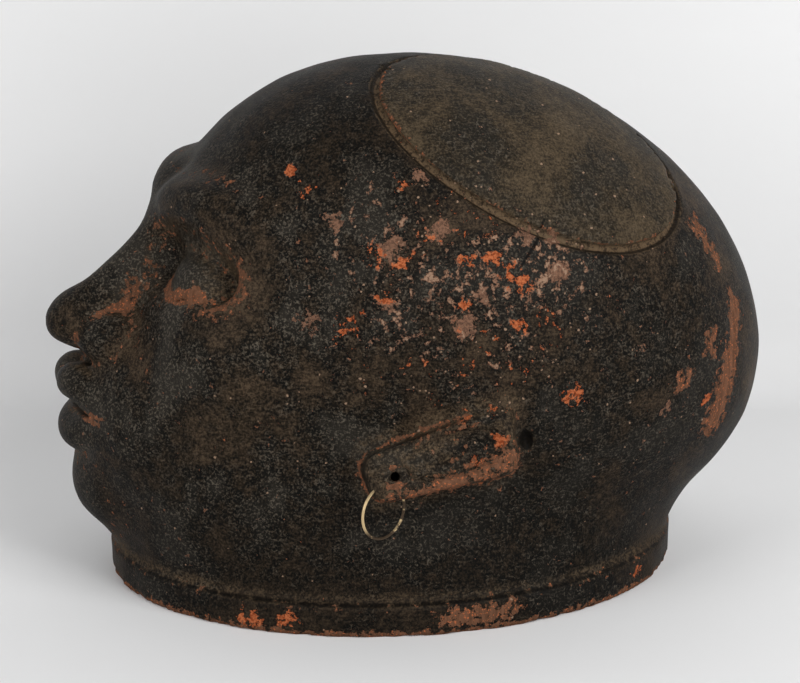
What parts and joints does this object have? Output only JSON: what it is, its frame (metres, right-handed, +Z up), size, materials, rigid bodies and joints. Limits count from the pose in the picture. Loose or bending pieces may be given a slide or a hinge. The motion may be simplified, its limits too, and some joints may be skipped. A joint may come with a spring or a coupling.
{
  "type": "makonde helmet mask",
  "caption": "Carved wooden helmet mask with a calm face, a raised oval cap of hair and a flat collar, hollow to go over a wearer's head, with a wire loop in one ear",
  "frame": {"origin": "On the plane that the collar stands on, under the middle of the mask's box", "axes": "Z up, the face looks along -Y, the mask's own left side is +X"},
  "size_m": [0.2227, 0.3154, 0.2267],
  "materials": {
    "painted_wood": "worn dark paint with a dull polish",
    "pale_wire": "dull"
  },
  "bodies": {
    "root": {"carved_mask": "painted_wood", "ear_ring": "pale_wire"}
  },
  "joints": []
}
